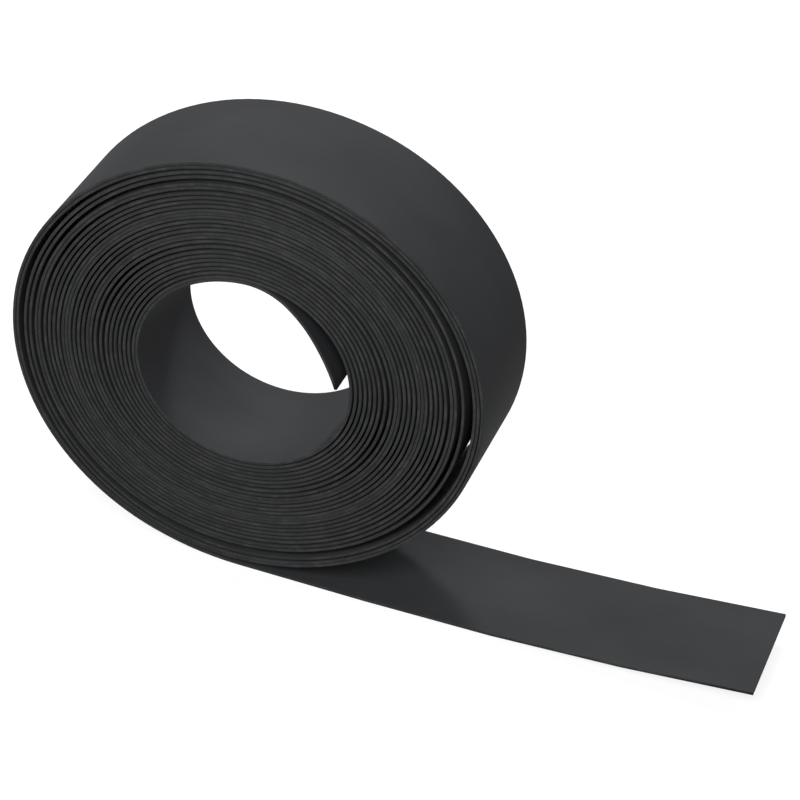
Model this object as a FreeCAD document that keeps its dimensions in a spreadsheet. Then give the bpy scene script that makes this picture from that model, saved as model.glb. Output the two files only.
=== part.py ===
import FreeCAD, Part
import math
import os

# Plastic lawn edging: one long flat strip, wound into a loose roll that stands on its rim.
# The roll's axis runs along Y. The strip's free outer end lies along the floor towards +X.
# The origin is on the floor, under the roll's axis and half way along it.

doc = FreeCAD.newDocument("lawn_edging")
sheet = doc.addObject("Spreadsheet::Sheet", "Sizes")

# Driving sizes in mm, and turns as plain numbers.
sizes = [
    ("strip_height", "100 mm"),
    ("strip_thick", "2.5 mm"),
    ("core_radius", "83.7 mm"),
    ("neat_turns", "22"),
    ("neat_gap", "1.32 mm"),
    ("pressed_gap", "0.3 mm"),
    ("wide_gap", "2.1 mm"),
    ("floor_gap", "3 mm"),
    ("oval_share", "0.037"),
    ("oval_lean", "28.6 deg"),
    ("tail_flat", "110 mm"),
    ("tail_lift", "321 mm"),
    ("lift_radius", "2700 mm"),
]
for row, (alias, value) in enumerate(sizes, start=1):
    sheet.set("A%d" % row, alias)
    sheet.set("B%d" % row, value)
    sheet.setAlias("B%d" % row, alias)
doc.recompute()


def size(alias):
    value = getattr(sheet, alias)
    return float(getattr(value, "Value", value))


thick = size("strip_thick")
half = thick / 2.0
core = size("core_radius")
neatTurns = int(round(size("neat_turns")))

# Turns that were pulled tight against the one inside them, and turns left a little wide.
pressedTurns = (1, 11, 16, 17)
wideTurns = (8, 9)

# The outer turns are loose. Each row is one turn, with its clearance from the turn inside it
# at the bottom, the right, the top and the left.
looseTurns = (
    (1.8, 2.1, 2.3, 2.2),
    (2.4, 0.5, 0.5, 0.4),
    (0.9, 3.4, 4.1, 2.4),
    (5.7, 6.4, 1.7, 1.7),
    (2.3, 0.4, 1.7, 4.2),
    (0.4, 0.6, 0.5, 0.4),
)


def clearanceKnot(quarter):
    """Clearance at a quarter turn, counted from the bottom of the first full turn."""
    turn = quarter // 4
    if turn >= neatTurns:
        row = min(turn - neatTurns, len(looseTurns) - 1)
        return looseTurns[row][quarter % 4]
    if turn in pressedTurns:
        return size("pressed_gap")
    if turn in wideTurns:
        return size("wide_gap")
    return size("neat_gap")


def clearance(turns):
    """Clearance between the knots, blended without a kink."""
    quarter = math.floor(turns * 4.0)
    share = turns * 4.0 - quarter
    blend = (1.0 - math.cos(math.pi * share)) / 2.0
    start = clearanceKnot(quarter)
    end = clearanceKnot(quarter + 1)
    return start + (end - start) * blend


# The first turn is held at the core, and each later turn lies outside the one before it.
firstStep = thick + size("pressed_gap")


def reach(turns):
    """Distance from the roll's axis to the middle of the strip, before the roll sags."""
    whole = int(math.floor(turns))
    share = turns - whole
    total = core + half + firstStep * share
    for step in range(1, whole + 1):
        total = total + thick + clearance(step + share)
    return total


totalTurns = neatTurns + len(looseTurns)


def place(turns):
    """Point on the strip's middle line: turns count from the bottom, to the right and over the top."""
    angle = 2.0 * math.pi * turns - math.pi / 2.0
    sag = size("oval_share") * math.cos(2.0 * (angle - math.radians(size("oval_lean"))))
    radius = reach(turns) * (1.0 + sag)
    return FreeCAD.Vector(radius * math.cos(angle), 0.0, radius * math.sin(angle))


def heading(turns):
    """Unit direction of the strip's middle line."""
    step = 0.002
    way = place(turns + step) - place(max(0.0, turns - step))
    return way.normalize()


def arcPieces(p0, t0, p1, t1):
    """Two arcs that join two points with both directions kept. Each piece is start, middle, end."""
    chord = p1 - p0
    both = t0 + t1
    open_ = 2.0 * (1.0 - t0.dot(t1))
    along = chord.dot(both)
    if open_ < 1e-9:
        reachOut = chord.dot(chord) / (4.0 * chord.dot(t1))
    else:
        reachOut = (-along + math.sqrt(along * along + open_ * chord.dot(chord))) / open_
    knee0 = p0 + t0 * reachOut
    knee1 = p1 - t1 * reachOut
    joint = (knee0 + knee1) * 0.5
    return [onePiece(p0, t0, joint), onePiece(joint, (knee1 - knee0).normalize(), p1)]


def onePiece(p0, t0, p1):
    """An arc from p0 along t0 to p1, given as centre, radius with sign, start and end."""
    side = FreeCAD.Vector(-t0.z, 0.0, t0.x)
    chord = p1 - p0
    across = chord.dot(side)
    if abs(across) < 1e-6:
        return (None, 0.0, p0, p1, side)
    radius = chord.dot(chord) / (2.0 * across)
    return (p0 + side * radius, radius, p0, p1, side)


def offsetEdge(piece, away):
    """The piece's edge, moved away from the middle line."""
    centre, radius, p0, p1, side = piece
    if centre is None:
        return Part.LineSegment(p0 - side * away, p1 - side * away).toShape()
    n0 = (p0 - centre).normalize()
    n1 = (p1 - centre).normalize()
    middle = (n0 + n1).normalize()
    grown = abs(radius) + (away if radius > 0 else -away)
    return Part.Arc(centre + n0 * grown, centre + middle * grown, centre + n1 * grown).toShape()


# Middle line of the strip, from the free inner end outwards.
pieces = []

# The inner end hangs free into the core: three bends, tighter near the roll. Each row is how
# much more than the core's radius the bend has, in mm, and its sweep in degrees.
flapStart = 0.5
flapBends = ((-30.7, 42.0), (16.3, 17.0), (96.3, 15.3))
point = place(flapStart)
direction = heading(flapStart) * -1.0
for more, turn in flapBends:
    bend = core + more
    side = FreeCAD.Vector(direction.z, 0.0, -direction.x)
    centre = point + side * bend
    swing = math.radians(turn)
    spoke = point - centre
    end = centre + FreeCAD.Vector(
        spoke.x * math.cos(swing) + spoke.z * math.sin(swing),
        0.0,
        spoke.z * math.cos(swing) - spoke.x * math.sin(swing),
    )
    newWay = FreeCAD.Vector(
        direction.x * math.cos(swing) + direction.z * math.sin(swing),
        0.0,
        direction.z * math.cos(swing) - direction.x * math.sin(swing),
    )
    pieces.insert(0, onePiece(end, newWay * -1.0, point))
    point = end
    direction = newWay

# The wound turns, eight stations to a turn.
stations = [flapStart + 0.125 * eighth for eighth in range(8 * totalTurns - 4)]
for a, b in zip(stations[:-1], stations[1:]):
    pieces.extend(arcPieces(place(a), heading(a), place(b), heading(b)))

# The outermost turn leaves the roll and lies flat on the floor, then lifts a little at its end.
floorLine = place(totalTurns - 1.0).z - thick - size("floor_gap")
right = FreeCAD.Vector(1.0, 0.0, 0.0)
landing = FreeCAD.Vector(0.0, 0.0, floorLine)
pieces.extend(arcPieces(place(stations[-1]), heading(stations[-1]), landing, right))
liftStart = FreeCAD.Vector(size("tail_flat"), 0.0, floorLine)
pieces.append((None, 0.0, landing, liftStart, FreeCAD.Vector(0.0, 0.0, 1.0)))
lift = size("tail_lift") / size("lift_radius")
liftCentre = liftStart + FreeCAD.Vector(0.0, 0.0, size("lift_radius"))
liftEnd = liftCentre + FreeCAD.Vector(math.sin(lift), 0.0, -math.cos(lift)) * size("lift_radius")
pieces.append((liftCentre, size("lift_radius"), liftStart, liftEnd, FreeCAD.Vector(0.0, 0.0, 1.0)))

# Both faces of the strip keep the same distance from the middle line.
outer = [offsetEdge(piece, half) for piece in pieces]
inner = [offsetEdge(piece, -half) for piece in pieces]
startCap = Part.LineSegment(inner[0].Vertexes[0].Point, outer[0].Vertexes[0].Point).toShape()
endCap = Part.LineSegment(outer[-1].Vertexes[-1].Point, inner[-1].Vertexes[-1].Point).toShape()
outline = Part.Wire([startCap] + outer + [endCap] + inner[::-1])
profile = doc.addObject("Part::Feature", "strip_profile")
profile.Shape = Part.Face(outline)
profile.Placement = FreeCAD.Placement(FreeCAD.Vector(0, 0, half - floorLine), FreeCAD.Rotation())

strip = doc.addObject("Part::Extrusion", "edging_strip")
strip.Label = "edging_strip"
strip.Base = profile
strip.DirMode = "Custom"
strip.Dir = FreeCAD.Vector(0, 1, 0)
strip.setExpression("LengthFwd", "Sizes.strip_height")
strip.Solid = True
strip.Symmetric = True
doc.recompute()

for item in doc.Objects:
    if "Invalid" in item.State or "Error" in item.State:
        raise RuntimeError("failed object: " + item.Label)
if not strip.Shape.isValid():
    raise RuntimeError("the strip's shape is not valid")
if len(strip.Shape.Solids) != 1:
    raise RuntimeError("the strip is not one solid")

length = sum(edge.Length for edge in outer + inner) / 2.0
print("strip length mm", round(length), "solid faces", len(strip.Shape.Faces))
print("axis height mm", round(half - floorLine, 2))
print("centre of mass", strip.Shape.CenterOfMass)
print("box", strip.Shape.BoundBox, "volume", round(strip.Shape.Volume))

os.makedirs("parts", exist_ok=True)
strip.Shape.exportStep("parts/edging_strip.step")
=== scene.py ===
import math

import bmesh
import bpy
from mathutils import Matrix, Vector


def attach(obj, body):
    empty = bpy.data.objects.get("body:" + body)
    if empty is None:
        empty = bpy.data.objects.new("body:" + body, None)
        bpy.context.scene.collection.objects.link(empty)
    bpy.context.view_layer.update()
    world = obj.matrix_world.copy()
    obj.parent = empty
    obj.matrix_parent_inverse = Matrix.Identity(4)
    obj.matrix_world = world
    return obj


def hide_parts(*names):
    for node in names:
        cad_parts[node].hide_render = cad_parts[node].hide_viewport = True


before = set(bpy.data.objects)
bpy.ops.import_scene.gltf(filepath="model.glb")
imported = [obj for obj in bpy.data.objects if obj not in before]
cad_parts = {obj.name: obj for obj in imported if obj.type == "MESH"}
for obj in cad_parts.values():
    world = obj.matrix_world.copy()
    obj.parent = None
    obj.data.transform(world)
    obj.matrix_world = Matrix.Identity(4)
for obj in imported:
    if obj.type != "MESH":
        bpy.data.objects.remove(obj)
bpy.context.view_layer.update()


print("stage: frame loaded")

# Plastic lawn edging: one flat strip, wound into a loose roll that stands on its rim.
# Lengths are in metres, and turns count from the bottom, to the right and over the top.
strip = {
    "height": 0.100,
    "thickness": 0.0025,
    "edgeRadius": 0.0006,
    "edgeSegments": 3,
    "stepAngle": 2.9,
    "coreRadius": 0.0837,
    "neatTurns": 22,
    "neatGap": 0.00132,
    "pressedGap": 0.0003,
    "wideGap": 0.0021,
    "floorGap": 0.003,
    "ovalShare": 0.037,
    "ovalLean": 28.6,
    "tailFlat": 0.110,
    "tailLift": 0.321,
    "liftRadius": 2.7,
    "flapStart": 0.5,
    "stationsPerTurn": 8,
    "headingStep": 0.002,
    "straightLimit": 1e-9,
    "weldDistance": 0.000005,
}

# Turns pulled tight against the one inside them, and turns left a little wide.
pressedTurns = (1, 11, 16, 17)
wideTurns = (8, 9)

# The loose outer turns, each with its clearance at the bottom, right, top and left.
looseTurns = (
    (0.0018, 0.0021, 0.0023, 0.0022),
    (0.0024, 0.0005, 0.0005, 0.0004),
    (0.0009, 0.0034, 0.0041, 0.0024),
    (0.0057, 0.0064, 0.0017, 0.0017),
    (0.0023, 0.0004, 0.0017, 0.0042),
    (0.0004, 0.0006, 0.0005, 0.0004),
)

# The free inner end: radius and sweep of each bend, from the roll inwards.
flapBends = ((0.053, 42.0), (0.100, 17.0), (0.180, 15.3))


# Clearance at a quarter turn, counted from the bottom of the first full turn.
def clearanceKnot(quarter):
    turn = quarter // 4
    if turn >= strip["neatTurns"]:
        row = min(turn - strip["neatTurns"], len(looseTurns) - 1)
        return looseTurns[row][quarter % 4]
    if turn in pressedTurns:
        return strip["pressedGap"]
    if turn in wideTurns:
        return strip["wideGap"]
    return strip["neatGap"]


# Clearance between the knots, blended without a kink.
def clearance(turns):
    quarter = math.floor(turns * 4.0)
    share = turns * 4.0 - quarter
    blend = (1.0 - math.cos(math.pi * share)) / 2.0
    start = clearanceKnot(quarter)
    return start + (clearanceKnot(quarter + 1) - start) * blend


# Distance from the roll's axis to the middle of the strip, before the roll sags.
def reach(turns):
    whole = int(math.floor(turns))
    share = turns - whole
    total = strip["coreRadius"] + strip["thickness"] / 2.0
    total += (strip["thickness"] + strip["pressedGap"]) * share
    for step in range(1, whole + 1):
        total += strip["thickness"] + clearance(step + share)
    return total


# Point on the strip's middle line, measured from the roll's axis.
def place(turns):
    angle = 2.0 * math.pi * turns - math.pi / 2.0
    sag = strip["ovalShare"] * math.cos(2.0 * (angle - math.radians(strip["ovalLean"])))
    radius = reach(turns) * (1.0 + sag)
    return Vector((radius * math.cos(angle), 0.0, radius * math.sin(angle)))


# Unit direction of the strip's middle line.
def heading(turns):
    step = strip["headingStep"]
    return (place(turns + step) - place(max(0.0, turns - step))).normalized()


# One bend of the middle line: its start, direction there, centre, sweep in radians and length.
def bendFrom(start, way, end):
    side = Vector((-way.z, 0.0, way.x))
    chord = end - start
    across = chord.dot(side)
    if abs(across) < strip["straightLimit"]:
        return {"start": start, "way": way, "centre": None, "sweep": 0.0, "length": chord.length}
    radius = chord.dot(chord) / (2.0 * across)
    sweep = 2.0 * math.atan2(across, chord.dot(way))
    return {"start": start, "way": way, "centre": start + side * radius, "sweep": sweep,
            "length": abs(radius * sweep)}


# Two bends that join two points with both directions kept.
def bendPair(start, startWay, end, endWay):
    chord = end - start
    spread = 2.0 * (1.0 - startWay.dot(endWay))
    along = chord.dot(startWay + endWay)
    if spread < strip["straightLimit"]:
        arm = chord.dot(chord) / (4.0 * chord.dot(endWay))
    else:
        arm = (math.sqrt(along * along + spread * chord.dot(chord)) - along) / spread
    kneeA = start + startWay * arm
    kneeB = end - endWay * arm
    joint = (kneeA + kneeB) * 0.5
    return [bendFrom(start, startWay, joint), bendFrom(joint, (kneeB - kneeA).normalized(), end)]


# The vector turned about Y, from +X towards +Z.
def turned(vector, degrees):
    angle = math.radians(degrees)
    return Vector((vector.x * math.cos(angle) - vector.z * math.sin(angle), 0.0,
                   vector.z * math.cos(angle) + vector.x * math.sin(angle)))


# Every bend of the strip, from its free inner end to its free outer end.
def middleLine():
    bends = []
    point = place(strip["flapStart"])
    way = -heading(strip["flapStart"])
    for radius, sweep in flapBends:
        centre = point + Vector((way.z, 0.0, -way.x)) * radius
        end = centre + turned(point - centre, -sweep)
        newWay = turned(way, -sweep)
        bends.insert(0, bendFrom(end, -newWay, point))
        point = end
        way = newWay
    totalTurns = strip["neatTurns"] + len(looseTurns)
    perTurn = strip["stationsPerTurn"]
    count = int(perTurn * (totalTurns - strip["flapStart"]))
    stations = [strip["flapStart"] + step / perTurn for step in range(count)]
    for a, b in zip(stations[:-1], stations[1:]):
        bends.extend(bendPair(place(a), heading(a), place(b), heading(b)))
    floorLine = place(totalTurns - 1.0).z - strip["thickness"] - strip["floorGap"]
    right = Vector((1.0, 0.0, 0.0))
    landing = Vector((0.0, 0.0, floorLine))
    last = stations[-1]
    bends.extend(bendPair(place(last), heading(last), landing, right))
    liftStart = Vector((strip["tailFlat"], 0.0, floorLine))
    bends.append(bendFrom(landing, right, liftStart))
    lift = strip["tailLift"] / strip["liftRadius"]
    liftEnd = liftStart + Vector((math.sin(lift), 0.0, 1.0 - math.cos(lift))) * strip["liftRadius"]
    bends.append(bendFrom(liftStart, right, liftEnd))
    lifted = Vector((0.0, 0.0, strip["thickness"] / 2.0 - floorLine))
    for bend in bends:
        bend["start"] = bend["start"] + lifted
        if bend["centre"] is not None:
            bend["centre"] = bend["centre"] + lifted
    return bends


# The strip's section as a loop of edges: a rectangle with its corners rounded.
def sectionLoop():
    mesh = bpy.data.meshes.new("strip_section")
    bm = bmesh.new()
    stretch = Matrix.Diagonal((strip["thickness"], strip["height"], 1.0, 1.0))
    bmesh.ops.create_grid(bm, x_segments=1, y_segments=1, size=0.5, matrix=stretch)
    bmesh.ops.bevel(bm, geom=bm.verts[:], offset=strip["edgeRadius"], affect="VERTICES",
                    segments=strip["edgeSegments"], profile=0.5, material=-1)
    bmesh.ops.delete(bm, geom=bm.faces[:], context="FACES_ONLY")
    bm.to_mesh(mesh)
    bm.free()
    return mesh


# The section carried through one bend, with the distance along the strip on its points.
def sweptBend(section, bend, along):
    bm = bmesh.new()
    bm.from_mesh(section)
    alongLayer = bm.verts.layers.float.new("along")
    perRing = len(bm.verts)
    side = Vector((-bend["way"].z, 0.0, bend["way"].x))
    turn = Matrix((side, Vector((0.0, 1.0, 0.0)), bend["way"])).transposed().to_4x4()
    bmesh.ops.transform(bm, matrix=Matrix.Translation(bend["start"]) @ turn, verts=bm.verts[:])
    ring = bm.edges[:] + bm.verts[:]
    steps = max(1, math.ceil(abs(math.degrees(bend["sweep"])) / strip["stepAngle"]))
    if bend["centre"] is None:
        bmesh.ops.spin(bm, geom=ring, cent=bend["start"], axis=(0.0, -1.0, 0.0), angle=0.0,
                       dvec=bend["way"] * bend["length"], steps=steps, use_duplicate=False)
    else:
        bmesh.ops.spin(bm, geom=ring, cent=bend["centre"], axis=(0.0, -1.0, 0.0),
                       angle=bend["sweep"], steps=steps, use_duplicate=False)
    for index, vert in enumerate(bm.verts):
        vert[alongLayer] = along + bend["length"] * (index // perRing) / steps
    mesh = bpy.data.meshes.new("strip_bend")
    bm.to_mesh(mesh)
    bm.free()
    return mesh


def buildStrip():
    section = sectionLoop()
    bm = bmesh.new()
    along = 0.0
    for bend in middleLine():
        part = sweptBend(section, bend, along)
        bm.from_mesh(part)
        bpy.data.meshes.remove(part)
        along += bend["length"]
    bpy.data.meshes.remove(section)
    bmesh.ops.remove_doubles(bm, verts=bm.verts[:], dist=strip["weldDistance"])
    cuts = [edge for edge in bm.edges if edge.is_boundary]
    bmesh.ops.holes_fill(bm, edges=cuts, sides=0)
    bmesh.ops.recalc_face_normals(bm, faces=bm.faces[:])
    for face in bm.faces:
        face.smooth = True
    mesh = bpy.data.meshes.new("edging_strip_visual")
    bm.to_mesh(mesh)
    bm.free()
    print("strip length", round(along, 3), "cut edges", len(cuts), "faces", len(mesh.polygons))
    return mesh


stripMesh = buildStrip()
stripObject = bpy.data.objects.new("edging_strip_visual", stripMesh)
bpy.context.scene.collection.objects.link(stripObject)
stripObject.modifiers.new("weighted", "WEIGHTED_NORMAL").keep_sharp = True
print("stage: strip built")

# Dark polyethylene: matt, with a faint sheen and fine lines drawn along it by the die.
# A noise is its detail and roughness, and a range is the part of it that is used.
plastic = {
    "colour": (0.0408, 0.0420, 0.0447, 1.0),
    "rimColour": (0.0385, 0.0399, 0.0392, 1.0),
    "wornColour": (0.075, 0.077, 0.075, 1.0),
    "roughness": 0.77,
    "roughnessSpread": 0.10,
    "specular": 0.08,
    "lineLength": 0.45,
    "lineWidth": 0.0022,
    "lineNoise": (3.0, 0.6),
    "lineRange": (0.2, 0.8),
    "lineDepth": 0.000012,
    "lineTone": 0.07,
    "cloudSize": 0.07,
    "cloudStretch": 1.6,
    "cloudNoise": (3.0, 0.55),
    "cloudRange": (0.25, 0.75),
    "cloudShare": 0.16,
    "patchRange": (0.3, 0.7),
    "grainSize": 0.0011,
    "grainNoise": (2.0, 0.5),
    "grainDepth": 0.000012,
    "wornWidth": 0.0012,
    "wornShare": 0.55,
    "rubLength": 0.012,
    "rubWidth": 0.004,
    "rubNoise": (3.0, 0.6),
    "rubRange": (0.45, 0.7),
    "rimFacing": (0.5, 0.9),
    "rimRoughness": 0.08,
}


def stripMaterial():
    material = bpy.data.materials.new("strip_plastic_finish")
    material.use_nodes = True
    tree = material.node_tree
    shader = tree.nodes["Principled BSDF"]

    def node(kind, **values):
        made = tree.nodes.new(kind)
        for name, value in values.items():
            setattr(made, name, value)
        return made

    def combined(operation, first, second=None):
        made = node("ShaderNodeMath", operation=operation)
        for socket, value in zip(made.inputs, (first, second)):
            if isinstance(value, (int, float)):
                socket.default_value = value
            elif value is not None:
                tree.links.new(value, socket)
        return made.outputs[0]

    def mapped(value, limits, toLow, toHigh):
        made = node("ShaderNodeMapRange")
        tree.links.new(value, made.inputs["Value"])
        for name, number in (("From Min", limits[0]), ("From Max", limits[1]),
                             ("To Min", toLow), ("To Max", toHigh)):
            made.inputs[name].default_value = number
        return made.outputs["Result"]

    def noise(vector, kind):
        made = node("ShaderNodeTexNoise")
        made.inputs["Scale"].default_value = 1.0
        made.inputs["Detail"].default_value = plastic[kind][0]
        made.inputs["Roughness"].default_value = plastic[kind][1]
        tree.links.new(vector, made.inputs["Vector"])
        return made.outputs["Fac"]

    def blended(share, first, second):
        made = node("ShaderNodeMix", data_type="RGBA")
        tree.links.new(share, made.inputs["Factor"])
        for socket, value in ((made.inputs[6], first), (made.inputs[7], second)):
            if isinstance(value, tuple):
                socket.default_value = value
            else:
                tree.links.new(value, socket)
        return made.outputs[2]

    # The strip's own coordinates: along it, across it and through it.
    along = node("ShaderNodeAttribute", attribute_name="along").outputs["Fac"]
    spot = node("ShaderNodeTexCoord").outputs["Object"]
    parts = node("ShaderNodeSeparateXYZ")
    tree.links.new(spot, parts.inputs[0])
    across = parts.outputs["Y"]
    facing = node("ShaderNodeSeparateXYZ")
    tree.links.new(node("ShaderNodeNewGeometry").outputs["Normal"], facing.inputs[0])
    rim = mapped(combined("ABSOLUTE", facing.outputs["Y"]), plastic["rimFacing"], 0.0, 1.0)

    def stretched(alongSize, acrossSize):
        made = node("ShaderNodeCombineXYZ")
        tree.links.new(combined("DIVIDE", along, alongSize), made.inputs["X"])
        tree.links.new(combined("DIVIDE", across, acrossSize), made.inputs["Y"])
        return made.outputs[0]

    lines = noise(stretched(plastic["lineLength"], plastic["lineWidth"]), "lineNoise")
    cloudLength = plastic["cloudSize"] * plastic["cloudStretch"]
    clouds = noise(stretched(cloudLength, plastic["cloudSize"]), "cloudNoise")
    grainSpot = node("ShaderNodeVectorMath", operation="SCALE")
    tree.links.new(spot, grainSpot.inputs[0])
    grainSpot.inputs["Scale"].default_value = 1.0 / plastic["grainSize"]
    grain = noise(grainSpot.outputs[0], "grainNoise")

    # Colour: the rims a little duller, clouding over the faces, and rubbed corners.
    def toneOf(pattern, limits, share):
        return mapped(pattern, plastic[limits], 1.0 - plastic[share], 1.0 + plastic[share])

    cloudTone = toneOf(clouds, "cloudRange", "cloudShare")
    tone = combined("MULTIPLY", cloudTone, toneOf(lines, "lineRange", "lineTone"))
    base = blended(rim, plastic["colour"], plastic["rimColour"])
    toned = node("ShaderNodeVectorMath", operation="SCALE")
    tree.links.new(base, toned.inputs[0])
    tree.links.new(tone, toned.inputs["Scale"])
    side = strip["height"] / 2.0
    fromMiddle = combined("ABSOLUTE", across)
    corner = mapped(fromMiddle, (side - plastic["wornWidth"], side), 0.0, 1.0)
    rubs = noise(stretched(plastic["rubLength"], plastic["rubWidth"]), "rubNoise")
    rub = mapped(rubs, plastic["rubRange"], 0.0, plastic["wornShare"])
    worn = combined("MULTIPLY", corner, rub)
    finish = blended(worn, toned.outputs[0], plastic["wornColour"])
    tree.links.new(finish, shader.inputs["Base Color"])

    # Sheen: smoother and duller patches, drawn out along the strip, and rougher rims.
    low = plastic["roughness"] - plastic["roughnessSpread"] / 2.0
    high = plastic["roughness"] + plastic["roughnessSpread"] / 2.0
    patches = combined("MULTIPLY", combined("ADD", lines, clouds), 0.5)
    rimRough = combined("MULTIPLY", rim, plastic["rimRoughness"])
    rough = combined("ADD", mapped(patches, plastic["patchRange"], low, high), rimRough)
    tree.links.new(rough, shader.inputs["Roughness"])

    # Relief: the die's lines over a fine grain.
    lineHeight = combined("MULTIPLY", lines, plastic["lineDepth"])
    height = combined("ADD", lineHeight, combined("MULTIPLY", grain, plastic["grainDepth"]))
    bump = node("ShaderNodeBump")
    bump.inputs["Strength"].default_value = 1.0
    bump.inputs["Distance"].default_value = 1.0
    tree.links.new(height, bump.inputs["Height"])
    tree.links.new(bump.outputs["Normal"], shader.inputs["Normal"])
    shader.inputs["Specular IOR Level"].default_value = plastic["specular"]
    return material


stripMesh.materials.append(stripMaterial())
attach(stripObject, "root")
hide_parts("edging_strip")
print("stage: materials done")

# The floor and the white studio round it. Seen directly or mirrored, both are white.
studio = {
    "floorSize": 60.0,
    "floorDrop": 0.0003,
    "floorColour": (0.30, 0.30, 0.30, 1.0),
    "floorGlow": 0.82,
    "worldStrength": 0.04,
    "lampTarget": (0.05, 0.0, 0.15),
}

# Soft lamps: where each stands, the side of its square face and its power in watts.
lamps = {
    "back_key_softbox": ((-0.15, 1.42, 1.82), 0.3, 28.0),
    "back_up_softbox": ((-0.1, 1.1, 2.1), 0.8, 4.0),
    "back_left_softbox": ((-1.0, 1.9, 0.9), 1.2, 9.0),
    "back_right_softbox": ((1.1, 1.9, 1.0), 1.2, 8.5),
    "front_left_softbox": ((-1.2, -1.8, 1.4), 1.2, 25.0),
    "front_high_softbox": ((0.6, -1.8, 2.0), 1.2, 37.0),
}


# One where the camera sees the surface, directly, mirrored or through glass, and nought elsewhere.
def seenShare(tree):
    path = tree.nodes.new("ShaderNodeLightPath")
    share = path.outputs["Is Camera Ray"]
    for name in ("Is Glossy Ray", "Is Transmission Ray"):
        pick = tree.nodes.new("ShaderNodeMath")
        pick.operation = "MAXIMUM"
        tree.links.new(share, pick.inputs[0])
        tree.links.new(path.outputs[name], pick.inputs[1])
        share = pick.outputs[0]
    return share


def buildFloor():
    mesh = bpy.data.meshes.new("studio_floor")
    bm = bmesh.new()
    bmesh.ops.create_grid(bm, x_segments=1, y_segments=1, size=studio["floorSize"] / 2.0)
    bmesh.ops.translate(bm, vec=(0.0, 0.0, -studio["floorDrop"]), verts=bm.verts[:])
    bm.to_mesh(mesh)
    bm.free()
    floor = bpy.data.objects.new("studio_floor", mesh)
    bpy.context.scene.collection.objects.link(floor)
    material = bpy.data.materials.new("floor_white")
    material.use_nodes = True
    tree = material.node_tree
    shader = tree.nodes["Principled BSDF"]
    shader.inputs["Base Color"].default_value = studio["floorColour"]
    shader.inputs["Roughness"].default_value = 1.0
    shader.inputs["Specular IOR Level"].default_value = 0.0
    glow = tree.nodes.new("ShaderNodeMath")
    glow.operation = "MULTIPLY"
    glow.inputs[1].default_value = studio["floorGlow"]
    tree.links.new(seenShare(tree), glow.inputs[0])
    shader.inputs["Emission Color"].default_value = (1.0, 1.0, 1.0, 1.0)
    tree.links.new(glow.outputs[0], shader.inputs["Emission Strength"])
    mesh.materials.append(material)


def buildWorld():
    world = bpy.data.worlds.new("studio_world")
    bpy.context.scene.world = world
    world.use_nodes = True
    back = world.node_tree.nodes["Background"]
    back.inputs["Color"].default_value = (1.0, 1.0, 1.0, 1.0)
    back.inputs["Strength"].default_value = studio["worldStrength"]


def addLamp(name, spot, side, power):
    light = bpy.data.lights.new(name, "AREA")
    light.shape = "SQUARE"
    light.size = side
    light.energy = power
    lamp = bpy.data.objects.new(name, light)
    bpy.context.scene.collection.objects.link(lamp)
    lamp.location = spot
    way = Vector(studio["lampTarget"]) - Vector(spot)
    lamp.rotation_euler = way.to_track_quat("-Z", "Y").to_euler()


buildFloor()
buildWorld()
for lampName, (lampSpot, lampSide, lampPower) in lamps.items():
    addLamp(lampName, lampSpot, lampSide, lampPower)
print("stage: studio done")

# The camera stands in front of the roll, a little to its right, and looks down at it.
view = {
    "spot": (0.6728, -1.6404, 1.4875),
    "azimuth": 18.84,
    "elevation": 37.25,
    "roll": -3.44,
    "lens": 125.95,
    "sensorWidth": 36.0,
    "clipStart": 0.05,
    "clipEnd": 60.0,
}


def buildCamera():
    azimuth = math.radians(view["azimuth"])
    elevation = math.radians(view["elevation"])
    roll = math.radians(view["roll"])
    back = Vector((math.sin(azimuth) * math.cos(elevation),
                   -math.cos(azimuth) * math.cos(elevation), math.sin(elevation)))
    level = Vector((0.0, 0.0, 1.0)).cross(back).normalized()
    upright = back.cross(level)
    right = level * math.cos(roll) - upright * math.sin(roll)
    up = level * math.sin(roll) + upright * math.cos(roll)
    camera = bpy.data.cameras.new("photo_camera")
    camera.sensor_width = view["sensorWidth"]
    camera.sensor_fit = "HORIZONTAL"
    camera.lens = view["lens"]
    camera.clip_start = view["clipStart"]
    camera.clip_end = view["clipEnd"]
    holder = bpy.data.objects.new("photo_camera", camera)
    bpy.context.scene.collection.objects.link(holder)
    turn = Matrix((right, up, back)).transposed().to_4x4()
    holder.matrix_world = Matrix.Translation(view["spot"]) @ turn
    bpy.context.scene.camera = holder


buildCamera()
bpy.context.scene.view_settings.view_transform = "Standard"
print("stage: camera done")
